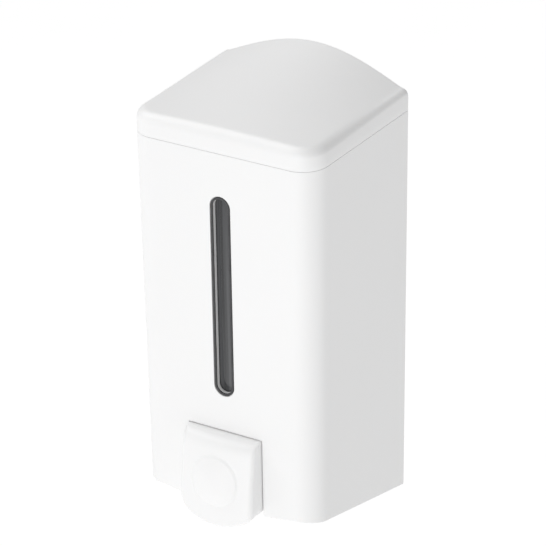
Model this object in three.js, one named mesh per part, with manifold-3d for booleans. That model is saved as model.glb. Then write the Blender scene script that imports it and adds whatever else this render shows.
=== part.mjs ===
// Wall mounted soap dispenser, modelled as it would come apart on a bench.
// Millimetres, +Z up, +X to the right seen from the front, +Y towards the wall.
// The wall is the plane y = 0 and the origin is the middle of the wall plate.

import * as THREE from "three";
import { mergeVertices } from "three/addons/utils/BufferGeometryUtils.js";
import Module from "manifold-3d";

const wasm = await Module();
wasm.setup();

// ---------------------------------------------------------------- driving dimensions

const BODY_WIDTH = 96;
const BODY_DEPTH = 82;
const BODY_CORNER = 12;
const SIDE_DRAFT = 0.012;
const FRONT_NARROWING = 0.3;
const SEAM_HEIGHT = 93.5;
const WALL = 2.4;
const GAP = 0.3;
const WALL_RELIEF = 0.5;
const BOSS_RADIUS = 3.5;
const BOSS_FRONT = -13;
const BOSS_INSET = 4;
const LUG = { inner: 19.8, outer: 23.4, depth: 9.6, halfHeight: 4.5 };
const LEDGE = { inner: 43, front: -62, back: -26, low: 84 };

const FLOOR_FRONT = -79.8;
const FLOOR_SLOPE = 0.219;
const FLOOR_SAG = 3.2;
const FLOOR_SAG_HALF = 36;

const LID_RIM = 104;
const LID_RISE = 13.3;
const LID_ARCH_HALF = 45;
const LID_EDGE = 4.5;
const LID_EDGE_BACK = 2.8;
const LID_SKIRT_DEPTH = 3;
const LID_SKIRT_WALL = 1.6;
const LID_FIT = 2.8;

const FRAME_WIDTH = 10;
const FRAME_LENGTH = 97.8;
const FRAME_RING = 1.1;
const FRAME_DEPTH = 0.6;
const WINDOW_MIDDLE = 24;
const PANE_OVERLAP = 3.2;
const PANE_FRONT = -79.3;
const PANE_BACK = -78.1;

const BUTTON_HALF = 19;
const BUTTON_TOP = -43;
const BUTTON_BOTTOM = -86.4;
const BUTTON_BOTTOM_RADIUS = 30;
const BUTTON_CORNER = 7;
const BUTTON_REACH = 10;
const BUTTON_CROWN = 2.2;
const SHOULDER = { drop: 7, control: 6.2, reach: 7.2, easing: 3.2, span: 18 };
const BUTTON_WALL = 2;
const BUTTON_ROOM = 0.4;
const BUTTON_OPENING_BACK = -63.5;
const NOZZLE_HOLE = 7.2;
const DOME_RADIUS = 12;
const DOME_HEIGHT = 2.4;
const DOME_EDGE = 1.3;
const DOME_MIDDLE = -63.5;
const PIVOT = { y: -76, z: -46.5 };
const PIN_RADIUS = 1.5;

const PUMP_AXIS = -71;
const PUMP_BORE = 8.1;
const PUMP_RADIUS = 10;
const PUMP_FRONT = -60.3;
const PUMP_REAR = -34;
const PORT_Y = -39;
const ROD_RADIUS = 3;
const ROD_TIP = -80.1;
const PISTON_RADIUS = 7.2;
const PISTON_FRONT = -56;
const PISTON_REAR = -50;
const BALL_RADIUS = 3;
const BALL_REST = -59.6;
const EAR_X = 16;
const EAR_RADIUS = 5;
const POST_RADIUS = 4.5;
const INLET = { boss: 9.6, socket: 7.6, top: -46, floor: -55.7, cage: 4.2, cageFloor: -62, hole: 2 };
const OUTLET = { stub: 4.5, bore: 2.2, end: -85.5 };
const SEAL = { inner: 5.9, outer: 7.3, low: -50.6, high: -48.4 };
const SEAT = { inner: 2.2, outer: 7.3, low: -55.4, high: -53.5 };

const TANK_HALF = 42;
const TANK_FRONT = -74;
const TANK_BACK = -10;
const TANK_TOP = 90;
const TANK_BOTTOM = -37;
const TANK_WALL = 2;
const RIM_THICKNESS = 2;
const RIM = { half: 44.8, front: -64, back: -24 };
const SPOUT_BORE = 3.8;
const FUNNEL_SLOPE = 0.15;
const SPOUT_RADIUS = 5.6;
const SPOUT_END = -52.8;

const PLATE_HALF_WIDTH = 32;
const PLATE_HALF_HEIGHT = 64;
const PLATE_THICKNESS = 3;
const HOOK_X = 24;
const HOOK_HEIGHTS = [36, -24];
const HOOK_HALF_WIDTH = 4;
const HOOK_NECK = 5;
const HOOK_LIP = 6;
const PANEL_BACK = -3.4;
const PANEL_FRONT = -5.6;
const PANEL_TOP = 92.6;
const PANEL_BOTTOM = -92;
const PANEL_SCREW_HEIGHTS = [84, -52];
const SLOT_SIDE_ROOM = 0.5;
const SLOT_DROP = 12.2;
const WALL_HOLE = { x: 20, z: 50, radius: 2.25, sinkRadius: 4.75, sinkDepth: 2.5 };

const PILOT_RADIUS = 1.7;
const PILOT_END = -12.4;
const SCREW = { shank: 1.4, head: 2.8, flat: 1.9, rise: 1.8, edge: 1.1, recess: 1.5, blade: 0.35 };
const PANEL_SCREW_END = -12;
const PUMP_SCREW_END = -19;
const EAR_THICKNESS = 3;

// ---------------------------------------------------------------- looks

const look = (color, roughness, metalness = 0, opacity = 1) =>
  new THREE.MeshStandardMaterial({ color, roughness, metalness, opacity, transparent: opacity < 1 });

const LOOKS = {
  whiteShell: () => look(0xf6f6f4, 0.22),
  innerWhite: () => look(0xe6e6e2, 0.5),
  darkTrim: () => look(0x3c3e40, 0.25),
  smokedLens: () => look(0x55585a, 0.08, 0, 0.75),
  naturalTank: () => look(0xdfe6e6, 0.35, 0, 0.6),
  pumpGrey: () => look(0xc9ccce, 0.5),
  silicone: () => look(0x8b8f92, 0.7),
  steel: () => look(0xb4b7ba, 0.3, 1),
};

// ---------------------------------------------------------------- solids

/** Turn a closed three.js geometry into a manifold solid. */
function solid(geometry) {
  const bare = geometry.clone();
  bare.deleteAttribute("normal");
  bare.deleteAttribute("uv");
  const merged = mergeVertices(bare, 1e-4);
  return new wasm.Manifold(
    new wasm.Mesh({
      numProp: 3,
      vertProperties: Float32Array.from(merged.attributes.position.array),
      triVerts: Uint32Array.from(merged.index.array),
    }),
  );
}

/** Join several solids into one. */
const join = (first, ...others) => others.reduce((sum, next) => sum.add(next), first);

/** Take several solids away from one. */
const cut = (first, ...others) => others.reduce((rest, next) => rest.subtract(next), first);

/** Turn a manifold solid back into a three.js geometry with flat faces. */
function geometryOf(body) {
  const mesh = body.getMesh();
  const geometry = new THREE.BufferGeometry();
  geometry.setAttribute("position", new THREE.BufferAttribute(mesh.vertProperties, 3));
  geometry.setIndex(new THREE.BufferAttribute(mesh.triVerts, 1));
  geometry.computeVertexNormals();
  return geometry;
}

const group = new THREE.Group();

/** Add a finished sub-part to the assembly under its own name. */
function addPart(name, body, material) {
  const mesh = new THREE.Mesh(geometryOf(body), material);
  mesh.name = name;
  group.add(mesh);
}

// ---------------------------------------------------------------- simple shapes

/** A box given by its low and high corner. */
function box([x0, y0, z0], [x1, y1, z1]) {
  const geometry = new THREE.BoxGeometry(x1 - x0, y1 - y0, z1 - z0);
  geometry.translate((x0 + x1) / 2, (y0 + y1) / 2, (z0 + z1) / 2);
  return solid(geometry);
}

/** The same solid on the right and mirrored to the left. */
const bothSides = (make) => join(make(1), make(-1));

/** Two numbers, the smaller one first. */
const span = (a, b) => [Math.min(a, b), Math.max(a, b)];

/** A cylinder along X, Y or Z between two stations on that axis. */
function rod(axis, radius, from, to, [a, b], sides = 32) {
  const geometry = new THREE.CylinderGeometry(radius, radius, to - from, sides);
  const middle = (from + to) / 2;
  if (axis === "x") {
    geometry.rotateZ(Math.PI / 2);
    geometry.translate(middle, a, b);
  } else if (axis === "y") {
    geometry.translate(a, middle, b);
  } else {
    geometry.rotateX(Math.PI / 2);
    geometry.translate(a, b, middle);
  }
  return solid(geometry);
}

/** A solid of revolution; profile points are [radius, height along the axis]. */
function turned(axis, profile, [a, b], sides = 36) {
  const points = profile.map(([radius, along]) => new THREE.Vector2(radius, along));
  const geometry = new THREE.LatheGeometry(points, sides);
  if (axis === "y") {
    geometry.translate(a, 0, b);
  } else {
    geometry.rotateX(Math.PI / 2);
    geometry.translate(a, b, 0);
  }
  return solid(geometry);
}

/** A plan outline in X and Y, raised from z0 to z1. */
function raised(shape, z0, z1, curveSegments = 5) {
  const geometry = new THREE.ExtrudeGeometry(shape, { depth: z1 - z0, bevelEnabled: false, curveSegments });
  geometry.translate(0, 0, z0);
  return geometry;
}

/** A front outline in X and Z, given thickness from y0 to y1. */
function facing(shape, y0, y1, curveSegments = 8) {
  const geometry = new THREE.ExtrudeGeometry(shape, { depth: y1 - y0, bevelEnabled: false, curveSegments });
  geometry.rotateX(Math.PI / 2);
  geometry.translate(0, y1, 0);
  return solid(geometry);
}

/** A rectangle with round corners, centred on (cx, cy). */
function roundedRectangle(halfWidth, halfHeight, radius, cx = 0, cy = 0) {
  const shape = new THREE.Shape();
  const [left, right] = [cx - halfWidth + radius, cx + halfWidth - radius];
  const [low, high] = [cy - halfHeight + radius, cy + halfHeight - radius];
  shape.absarc(right, low, radius, -Math.PI / 2, 0);
  shape.absarc(right, high, radius, 0, Math.PI / 2);
  shape.absarc(left, high, radius, Math.PI / 2, Math.PI);
  shape.absarc(left, low, radius, Math.PI, Math.PI * 1.5);
  shape.closePath();
  return shape;
}

/** A long slot with half-round ends, standing upright. */
function uprightPill(width, length, middle) {
  const radius = width / 2;
  const reach = length / 2 - radius;
  const shape = new THREE.Shape();
  shape.absarc(0, middle + reach, radius, 0, Math.PI);
  shape.absarc(0, middle - reach, radius, Math.PI, Math.PI * 2);
  shape.closePath();
  return shape;
}

// ---------------------------------------------------------------- shape of the casing

const FRONT = -BODY_DEPTH;
const HALF_BACK = BODY_WIDTH / 2;
const HALF_FRONT = HALF_BACK - FRONT_NARROWING;
const SHELL_TOP = SEAM_HEIGHT - GAP / 2;
const LID_BOTTOM = SEAM_HEIGHT + GAP / 2;
const CASING_LOW = -110;

/** Casing outline from above, moved inwards by inset, open towards the wall at yBack. */
function casingOutline(inset, yBack) {
  const radius = BODY_CORNER - inset;
  const [back, front] = [HALF_BACK - inset, HALF_FRONT - inset];
  const y = FRONT + inset + radius;
  const shape = new THREE.Shape();
  shape.moveTo(-back, yBack);
  shape.lineTo(-front, y);
  shape.absarc(-front + radius, y, radius, Math.PI, Math.PI * 1.5);
  shape.absarc(front - radius, y, radius, Math.PI * 1.5, Math.PI * 2);
  shape.lineTo(back, yBack);
  shape.closePath();
  return shape;
}

/** Narrow a raised geometry towards the bottom by the side draft. */
function drafted(geometry) {
  const position = geometry.attributes.position;
  for (let i = 0; i < position.count; i += 1) {
    const shrink = (SIDE_DRAFT * (SEAM_HEIGHT - position.getZ(i))) / HALF_BACK;
    position.setX(i, position.getX(i) * (1 - shrink));
  }
  return solid(geometry);
}

/** Half the inner width of the casing at a height. */
const innerHalf = (z) => (HALF_BACK - WALL) * (1 - (SIDE_DRAFT * (SEAM_HEIGHT - z)) / HALF_BACK);

/** Height of the casing's underside, which sags in the middle and falls towards the wall. */
const undersideAt = (x, y) =>
  FLOOR_FRONT - FLOOR_SAG * Math.max(0, 1 - (x / FLOOR_SAG_HALF) ** 2) - FLOOR_SLOPE * (y - FRONT);

/** Height of the lid's top skin before its edge is rounded. */
function lidSkinAt(x, y) {
  const arch = Math.abs(x) < LID_ARCH_HALF ? Math.cos((Math.PI * x) / (2 * LID_ARCH_HALF)) : 0;
  const along = THREE.MathUtils.clamp((y - FRONT) / BODY_DEPTH, 0, 1);
  return LID_RIM + LID_RISE * arch * along;
}

/** How far a point of the plan lies inside the casing outline. */
function insetAt(x, y) {
  const side = HALF_FRONT - Math.abs(x);
  const front = y - FRONT;
  if (side < BODY_CORNER && front < BODY_CORNER) {
    return BODY_CORNER - Math.hypot(BODY_CORNER - side, BODY_CORNER - front);
  }
  return Math.min(side, front);
}

/** Radius of the lid's rounded edge, which tightens along the sides towards the wall. */
function edgeRadiusAt(y) {
  const share = THREE.MathUtils.smoothstep(y, FRONT + BODY_CORNER, -WALL_RELIEF);
  return THREE.MathUtils.lerp(LID_EDGE, LID_EDGE_BACK, share);
}

/** Drop of a rounded edge of some radius at a distance inside the outline. */
function edgeDrop(inset, radius) {
  const left = THREE.MathUtils.clamp(radius - inset, 0, radius);
  return radius - Math.sqrt(radius ** 2 - left ** 2);
}

/** A block whose top and bottom follow height functions, finest near its outer edges. */
function contouredBlock(columns, rows, topAt, bottomAt) {
  const geometry = new THREE.BoxGeometry(2, 1, 1, columns, rows, 1);
  const position = geometry.attributes.position;
  for (let i = 0; i < position.count; i += 1) {
    const x = (HALF_BACK + 1) * Math.sin((Math.PI / 2) * position.getX(i));
    const y = FRONT - 1 + (BODY_DEPTH + 2) * (1 - Math.cos((Math.PI / 2) * (position.getY(i) + 0.5)));
    const height = position.getZ(i) > 0 ? topAt : bottomAt;
    position.setXYZ(i, x, y, height(x, y));
  }
  return solid(geometry);
}

// ---------------------------------------------------------------- casing

/** Distance of a rear panel screw from the middle. */
const panelScrewX = (z) => innerHalf(z) - BOSS_INSET;

/** The same solid at each of the four rear panel screws. */
const atPanelScrews = (make) =>
  join(...PANEL_SCREW_HEIGHTS.map((z) => bothSides((side) => make(side * panelScrewX(z), z, side))));

/** Screw bosses in the back corners, each with a web to the side wall. */
const cornerBosses = () =>
  atPanelScrews((x, z, side) => {
    const back = PANEL_FRONT - GAP;
    const boss = rod("y", BOSS_RADIUS, BOSS_FRONT, back, [x, z], 24);
    const [low, high] = span(x, side * (innerHalf(z) + 1));
    return join(boss, box([low, BOSS_FRONT, z - 2], [high, back, z + 2]));
  });

/** Pilot holes in the corner bosses. */
const cornerPilots = () => atPanelScrews((x, z) => rod("y", PILOT_RADIUS, PILOT_END, 0, [x, z], 20));

/** Lugs inside the front wall that carry the button's pivot pin. */
const pivotLugs = () =>
  bothSides((side) => {
    const [low, high] = span(side * LUG.inner, side * LUG.outer);
    const front = FRONT + 1;
    return box([low, front, PIVOT.z - LUG.halfHeight], [high, FRONT + LUG.depth, PIVOT.z + LUG.halfHeight]);
  });

/** Ledges on the side walls that the tank's rim rests on. */
const tankLedges = () =>
  bothSides((side) => {
    const [low, high] = span(side * LEDGE.inner, side * (innerHalf(LEDGE.low) + 1));
    return box([low, LEDGE.front, LEDGE.low], [high, LEDGE.back, TANK_TOP - RIM_THICKNESS - GAP]);
  });

/** Outline of the push button: straight sides, round lower corners and a bowed lower edge. */
function buttonOutline(margin, top) {
  const half = BUTTON_HALF + margin;
  const [bow, corner] = [BUTTON_BOTTOM_RADIUS + margin, BUTTON_CORNER + margin];
  const bowCentre = BUTTON_BOTTOM - margin + bow;
  const cornerX = half - corner;
  const lean = Math.asin(cornerX / (bow - corner));
  const cornerZ = bowCentre - (bow - corner) * Math.cos(lean);
  const lowest = -Math.PI / 2;
  const shape = new THREE.Shape();
  shape.moveTo(-half, top);
  shape.lineTo(-half, cornerZ);
  shape.absarc(-cornerX, cornerZ, corner, -Math.PI, lowest - lean);
  shape.absarc(0, bowCentre, bow, lowest - lean, lowest + lean);
  shape.absarc(cornerX, cornerZ, corner, lowest + lean, 0);
  shape.lineTo(half, top);
  shape.closePath();
  return shape;
}

function frontShell() {
  const outerBlock = drafted(raised(casingOutline(0, -WALL_RELIEF), CASING_LOW, SHELL_TOP));
  const innerBlock = drafted(raised(casingOutline(WALL, 1), CASING_LOW, SHELL_TOP + 2));
  const above = (rise) => contouredBlock(24, 4, () => SHELL_TOP + 4, (x, y) => undersideAt(x, y) + rise);
  const tray = outerBlock.intersect(above(0)).subtract(innerBlock.intersect(above(WALL)));
  const walls = join(tray, cornerBosses(), pivotLugs(), tankLedges());
  const half = BUTTON_HALF + BUTTON_ROOM;
  const frameSeat = facing(windowPill(GAP), FRONT - 2, FRONT + FRAME_DEPTH + GAP);
  const windowSlot = facing(windowPill(-FRAME_RING), FRONT - 2, -78);
  const openingTop = BUTTON_TOP + BUTTON_ROOM;
  const buttonOpening = box([-half, FRONT - 2, -100], [half, BUTTON_OPENING_BACK, openingTop]);
  const nozzleHole = rod("z", NOZZLE_HOLE, CASING_LOW, -86, [0, PORT_Y]);
  const pinHole = rod("x", PIN_RADIUS + GAP, -30, 30, [PIVOT.y, PIVOT.z], 20);
  return cut(walls, frameSeat, windowSlot, buttonOpening, nozzleHole, pinHole, cornerPilots());
}

/** Outline of the window's frame, grown by a margin. */
const windowPill = (margin) =>
  uprightPill(FRAME_WIDTH + 2 * margin, FRAME_LENGTH + 2 * margin, WINDOW_MIDDLE);

function windowFrame() {
  const [front, back] = [FRONT, FRONT + FRAME_DEPTH];
  return facing(windowPill(0), front, back).subtract(facing(windowPill(-FRAME_RING), front - 1, back + 1));
}

const windowLens = () => facing(windowPill(PANE_OVERLAP - FRAME_RING), PANE_FRONT, PANE_BACK);

/** Top of the lid with its edges rounded. */
const lidTopAt = (x, y) => lidSkinAt(x, y) - edgeDrop(insetAt(x, y), edgeRadiusAt(y));

/** The lid's arched cap, hollow from below. */
function lidCap() {
  const tall = LID_RIM + LID_RISE + 2;
  const outerBlock = solid(raised(casingOutline(0, -WALL_RELIEF), LID_BOTTOM, tall));
  const innerBlock = solid(raised(casingOutline(WALL, -WALL_RELIEF - WALL), LID_BOTTOM - 1, tall));
  const outer = contouredBlock(28, 18, lidTopAt, () => LID_BOTTOM - 1);
  const inner = contouredBlock(20, 10, (x, y) => lidSkinAt(x, y) - WALL, () => LID_BOTTOM - 2);
  return outerBlock.intersect(outer).subtract(innerBlock.intersect(inner));
}

/** Skirt that drops inside the shell and a shoulder that joins it to the cap. */
function lidSkirt() {
  const back = PANEL_FRONT - 1;
  const high = LID_BOTTOM + 2.4;
  const skirt = solid(raised(casingOutline(LID_FIT, back), LID_BOTTOM - LID_SKIRT_DEPTH, high));
  const shoulder = solid(raised(casingOutline(WALL - 0.5, back), LID_BOTTOM, high));
  const throatOutline = casingOutline(LID_FIT + LID_SKIRT_WALL, back - LID_SKIRT_WALL);
  const throat = solid(raised(throatOutline, LID_BOTTOM - 5, LID_BOTTOM + 4));
  return join(skirt, shoulder).subtract(throat);
}

const lid = () => join(lidCap(), lidSkirt());

/** Rear panel: closes the casing, hangs on the wall plate's hooks and carries the pump. */
function rearPanel() {
  const [low, high] = [innerHalf(PANEL_BOTTOM) - 0.5, innerHalf(PANEL_TOP) - 0.5];
  const outline = new THREE.Shape();
  outline.moveTo(-low, PANEL_BOTTOM);
  outline.lineTo(low, PANEL_BOTTOM);
  outline.lineTo(high, PANEL_TOP);
  outline.lineTo(-high, PANEL_TOP);
  outline.closePath();
  const sheet = facing(outline, PANEL_FRONT, PANEL_BACK);
  const postEnd = PUMP_REAR + EAR_THICKNESS + GAP;
  const posts = bothSides((side) =>
    rod("y", POST_RADIUS, postEnd, PANEL_BACK, [side * EAR_X, PUMP_AXIS], 24),
  );
  const pilots = bothSides((side) =>
    rod("y", PILOT_RADIUS, postEnd - 1, PUMP_SCREW_END + 1, [side * EAR_X, PUMP_AXIS], 20),
  );
  const screwHoles = atPanelScrews((x, z) => rod("y", PILOT_RADIUS, -9, -1, [x, z], 20));
  return cut(join(sheet, posts), pilots, hookSlots(), screwHoles);
}

/** Slots in the rear panel that drop over the wall plate's hooks. */
function hookSlots() {
  const half = HOOK_HALF_WIDTH + SLOT_SIDE_ROOM;
  const slots = HOOK_HEIGHTS.map((height) =>
    bothSides((side) => {
      const middle = side * HOOK_X;
      return box([middle - half, -9, height - SLOT_DROP], [middle + half, -3, height + GAP]);
    }),
  );
  return join(...slots);
}

// ---------------------------------------------------------------- wall plate

/** Four upturned hooks on the wall plate. */
function wallHooks() {
  const [tip, lipBack, root] = [-8.5, -6, -PLATE_THICKNESS + 1];
  const hooks = HOOK_HEIGHTS.map((height) =>
    bothSides((side) => {
      const [low, high] = [side * HOOK_X - HOOK_HALF_WIDTH, side * HOOK_X + HOOK_HALF_WIDTH];
      const neck = box([low, tip, height - HOOK_NECK], [high, root, height]);
      const lip = box([low, tip, height - HOOK_NECK], [high, lipBack, height + HOOK_LIP]);
      return join(neck, lip);
    }),
  );
  return join(...hooks);
}

/** A countersunk hole for a wall screw. */
function wallHole(x, z) {
  const { radius, sinkRadius, sinkDepth } = WALL_HOLE;
  const [front, deep] = [-PLATE_THICKNESS - 0.5, -PLATE_THICKNESS - 0.5 + sinkDepth];
  const shank = rod("y", radius, -5, 1, [x, z], 24);
  return join(shank, turned("y", [[0, front], [sinkRadius, front], [radius, deep], [0, deep]], [x, z], 24));
}

function wallPlate() {
  const sheet = facing(roundedRectangle(PLATE_HALF_WIDTH, PLATE_HALF_HEIGHT, 6), -PLATE_THICKNESS, 0, 4);
  const holes = [WALL_HOLE.z, -WALL_HOLE.z].map((z) => bothSides((side) => wallHole(side * WALL_HOLE.x, z)));
  return cut(join(sheet, wallHooks()), ...holes);
}

// ---------------------------------------------------------------- tank

/** Height of the tank's funnel-shaped floor. */
const funnelAt = (x, y) => TANK_BOTTOM + FUNNEL_SLOPE * Math.hypot(x, y - PORT_Y);

/** Tank outline from above, moved inwards by inset. */
function tankOutline(inset) {
  const half = TANK_HALF - inset;
  const [frontRadius, backRadius] = [8 - inset, 14 - inset];
  const [front, back] = [TANK_FRONT + inset, TANK_BACK - inset];
  const shape = new THREE.Shape();
  shape.absarc(-half + backRadius, back - backRadius, backRadius, Math.PI / 2, Math.PI);
  shape.absarc(-half + frontRadius, front + frontRadius, frontRadius, Math.PI, Math.PI * 1.5);
  shape.absarc(half - frontRadius, front + frontRadius, frontRadius, Math.PI * 1.5, Math.PI * 2);
  shape.absarc(half - backRadius, back - backRadius, backRadius, 0, Math.PI / 2);
  shape.closePath();
  return shape;
}

function soapTank() {
  const outside = solid(raised(tankOutline(0), -50, TANK_TOP, 3)).intersect(
    contouredBlock(14, 10, () => TANK_TOP + 5, funnelAt),
  );
  const inside = solid(raised(tankOutline(TANK_WALL), -50, TANK_TOP + 1, 3)).intersect(
    contouredBlock(14, 10, () => TANK_TOP + 5, (x, y) => funnelAt(x, y) + TANK_WALL),
  );
  const rim = box([-RIM.half, RIM.front, TANK_TOP - RIM_THICKNESS], [RIM.half, RIM.back, TANK_TOP]);
  const spout = rod("z", SPOUT_RADIUS, SPOUT_END, TANK_BOTTOM + 1.5, [0, PORT_Y]);
  const spoutBore = rod("z", SPOUT_BORE, SPOUT_END - 1, TANK_BOTTOM + 5, [0, PORT_Y]);
  return cut(join(outside, rim, spout), inside, spoutBore);
}

/** A flat washer along Z, centred on the pump's port. */
function washer({ inner, outer, low, high }) {
  const profile = [[inner, low], [outer, low], [outer, high], [inner, high], [inner, low]];
  return turned("z", profile, [0, PORT_Y]);
}

const tankOutletSeal = () => washer(SEAL);

// ---------------------------------------------------------------- pump

/** Seat and cage for the inlet ball, cut into the pump's top boss. */
function inletPassage() {
  const port = [0, PORT_Y];
  const [low, high] = [INLET.cageFloor - 3, INLET.cageFloor + 1];
  const [long, thin] = [3.6, 0.7];
  return join(
    rod("z", INLET.socket, INLET.floor, INLET.top + 1, port, 32),
    rod("z", INLET.cage, INLET.cageFloor, INLET.floor + 1, port, 28),
    rod("z", INLET.hole, INLET.cageFloor - 4, high, port, 20),
    box([-long, PORT_Y - thin, low], [long, PORT_Y + thin, high]),
    box([-thin, PORT_Y - long, low], [thin, PORT_Y + long, high]),
  );
}

function pumpBody() {
  const [axis, port] = [[0, PUMP_AXIS], [0, PORT_Y]];
  const back = PUMP_REAR + EAR_THICKNESS;
  const barrel = rod("y", PUMP_RADIUS, PUMP_FRONT, back, axis, 36);
  const earOutline = roundedRectangle(EAR_X + EAR_RADIUS, EAR_RADIUS, EAR_RADIUS, 0, PUMP_AXIS);
  const ears = facing(earOutline, PUMP_REAR, back, 3);
  const inletBoss = rod("z", INLET.boss, PUMP_AXIS + 4, INLET.top, port, 36);
  const outletStub = rod("z", OUTLET.stub, OUTLET.end, PUMP_AXIS - PUMP_BORE - 0.5, port, 28);
  const bore = rod("y", PUMP_BORE, PUMP_FRONT - 1, PUMP_REAR, axis, 36);
  const outletBore = rod("z", OUTLET.bore, OUTLET.end - 1, PUMP_AXIS - 4, port, 20);
  const earHoles = bothSides((side) =>
    rod("y", PILOT_RADIUS, PUMP_REAR - 2, back + 3, [side * EAR_X, PUMP_AXIS], 20),
  );
  return cut(join(barrel, ears, inletBoss, outletStub), bore, inletPassage(), outletBore, earHoles);
}

function pumpEndCap() {
  const [outer, inner, hole] = [12, PUMP_RADIUS + GAP, ROD_RADIUS + GAP];
  const [front, step, back] = [-63, PUMP_FRONT - GAP, -54];
  const profile = [[hole, front], [outer, front], [outer, back], [inner, back], [inner, step], [hole, step]];
  return turned("y", [...profile, profile[0]], [0, PUMP_AXIS]);
}

function pistonRod() {
  const nose = 4;
  const start = Math.asin(ROD_RADIUS / nose);
  const tip = Array.from({ length: 5 }, (_, i) => {
    const angle = (start * i) / 4;
    return [nose * Math.sin(angle), ROD_TIP + nose * (1 - Math.cos(angle))];
  });
  const grooveRadius = 5.5;
  const head = [
    [ROD_RADIUS, PISTON_FRONT],
    [PISTON_RADIUS, PISTON_FRONT],
    [PISTON_RADIUS, -54.5],
    [grooveRadius, -54.5],
    [grooveRadius, -52],
    [PISTON_RADIUS, -52],
    [PISTON_RADIUS, PISTON_REAR],
    [0, PISTON_REAR],
  ];
  return turned("y", [...tip, ...head], [0, PUMP_AXIS]);
}

function pistonSeal() {
  const profile = [[5.8, -54.2], [7.5, -54.2], [7.9, -53.25], [7.5, -52.3], [5.8, -52.3], [5.8, -54.2]];
  return turned("y", profile, [0, PUMP_AXIS]);
}

/** Centre line of the compression spring, coiled along Y behind the piston. */
class CoilCurve extends THREE.Curve {
  constructor(radius, turns, from, to) {
    super();
    Object.assign(this, { radius, turns, from, to });
  }

  getPoint(t, target = new THREE.Vector3()) {
    const angle = t * this.turns * Math.PI * 2;
    return target.set(
      this.radius * Math.cos(angle),
      this.from + (this.to - this.from) * t,
      PUMP_AXIS + this.radius * Math.sin(angle),
    );
  }
}

function returnSpring() {
  const wire = 0.5;
  const turns = 6;
  const coil = new CoilCurve(5, turns, PISTON_REAR + GAP + wire, PUMP_REAR - GAP - wire);
  const section = new THREE.Shape().absarc(0, 0, wire, 0, Math.PI * 2);
  const geometry = new THREE.ExtrudeGeometry(section, {
    steps: turns * 14,
    extrudePath: coil,
    curveSegments: 3,
    bevelEnabled: false,
  });
  return solid(geometry);
}

const inletValveSeat = () => washer(SEAT);

function inletValveBall() {
  const geometry = new THREE.SphereGeometry(BALL_RADIUS, 20, 12);
  geometry.translate(0, PORT_Y, BALL_REST);
  return solid(geometry);
}

/** Duckbill outlet valve: a flange over a bill that is flattened to a slit. */
function outletValve() {
  const [top, flange, lip] = [-85.8, -87, -92.2];
  const [rim, bill, tip, wall] = [4.4, 3.1, 1.6, 1];
  const port = [0, PORT_Y];
  const skin = [[0, lip], [tip, lip], [bill, flange], [rim, flange], [rim, top], [0, top]];
  const [floor, mouth] = [lip + 0.8, top + 1];
  const [narrow, wide] = [tip - wall, bill - wall - 0.1];
  const hollow = [[0, floor], [narrow, floor], [wide, flange], [wide, mouth], [0, mouth]];
  const slit = box([-1.2, PORT_Y - 0.2, lip - 1], [1.2, PORT_Y + 0.2, lip + 2]);
  return cut(turned("z", skin, port), turned("z", hollow, port), slit);
}

function nozzle() {
  const [top, shoulder, seat, tip] = [-81.4, -87.3, -93, -98];
  const profile = [
    [4.8, top],
    [4.8, shoulder],
    [3.6, shoulder],
    [3.6, seat],
    [2.2, seat - 1],
    [2.2, tip],
    [3.6, tip],
    [4.2, tip + 0.6],
    [6.5, seat],
    [6.5, top],
    [4.8, top],
  ];
  return turned("z", profile, [0, PORT_Y]);
}

// ---------------------------------------------------------------- push button

/** A quadratic curve's value between a start, a control and an end value. */
const curveAt = (start, control, end, t) => start * (1 - t) ** 2 + 2 * control * t * (1 - t) + end * t ** 2;

/** How far the button's face stands out of the casing at a height, at its sides. */
function reachAt(z) {
  const below = BUTTON_TOP - z;
  if (below <= 0) {
    return 0;
  }
  if (below < SHOULDER.drop) {
    return curveAt(0, SHOULDER.control, SHOULDER.reach, Math.sqrt(below / SHOULDER.drop));
  }
  const t = Math.min((below - SHOULDER.drop) / (SHOULDER.span + SHOULDER.easing), 1);
  return curveAt(SHOULDER.reach, BUTTON_REACH, BUTTON_REACH, t);
}

/** Height of the round dome above the button's face. */
function domeAt(x, z) {
  const distance = Math.hypot(x, z - DOME_MIDDLE);
  const edge = THREE.MathUtils.smoothstep(DOME_RADIUS + 0.5 - distance, 0, DOME_EDGE);
  return DOME_HEIGHT * Math.max(0, 1 - 0.85 * (distance / DOME_RADIUS) ** 2) * edge;
}

/** Where the button's crowned face lies. */
function buttonFaceAt(x, z) {
  const reach = reachAt(z);
  const crown = (BUTTON_CROWN * Math.max(0, 1 - (x / BUTTON_HALF) ** 2) * reach) / BUTTON_REACH;
  return FRONT - reach - crown;
}

/** Where the button's walls end behind the face: further back round the pivot pin. */
const buttonBackAt = (z) => PIVOT.y + 2 + 1.4 * THREE.MathUtils.smoothstep(z, PIVOT.z - 8, PIVOT.z - 4);

/** A block over the button's outline whose front and back follow position functions. */
function facedBlock(columns, rows, frontAt, backAt) {
  const geometry = new THREE.BoxGeometry(2, 1, 1, columns, 1, rows);
  const position = geometry.attributes.position;
  for (let i = 0; i < position.count; i += 1) {
    const x = (BUTTON_HALF + 0.5) * position.getX(i);
    const z = BUTTON_TOP + (BUTTON_BOTTOM - 1 - BUTTON_TOP) * (0.5 - position.getZ(i));
    position.setXYZ(i, x, position.getY(i) < 0 ? frontAt(x, z) : backAt(z), z);
  }
  return solid(geometry);
}

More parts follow.
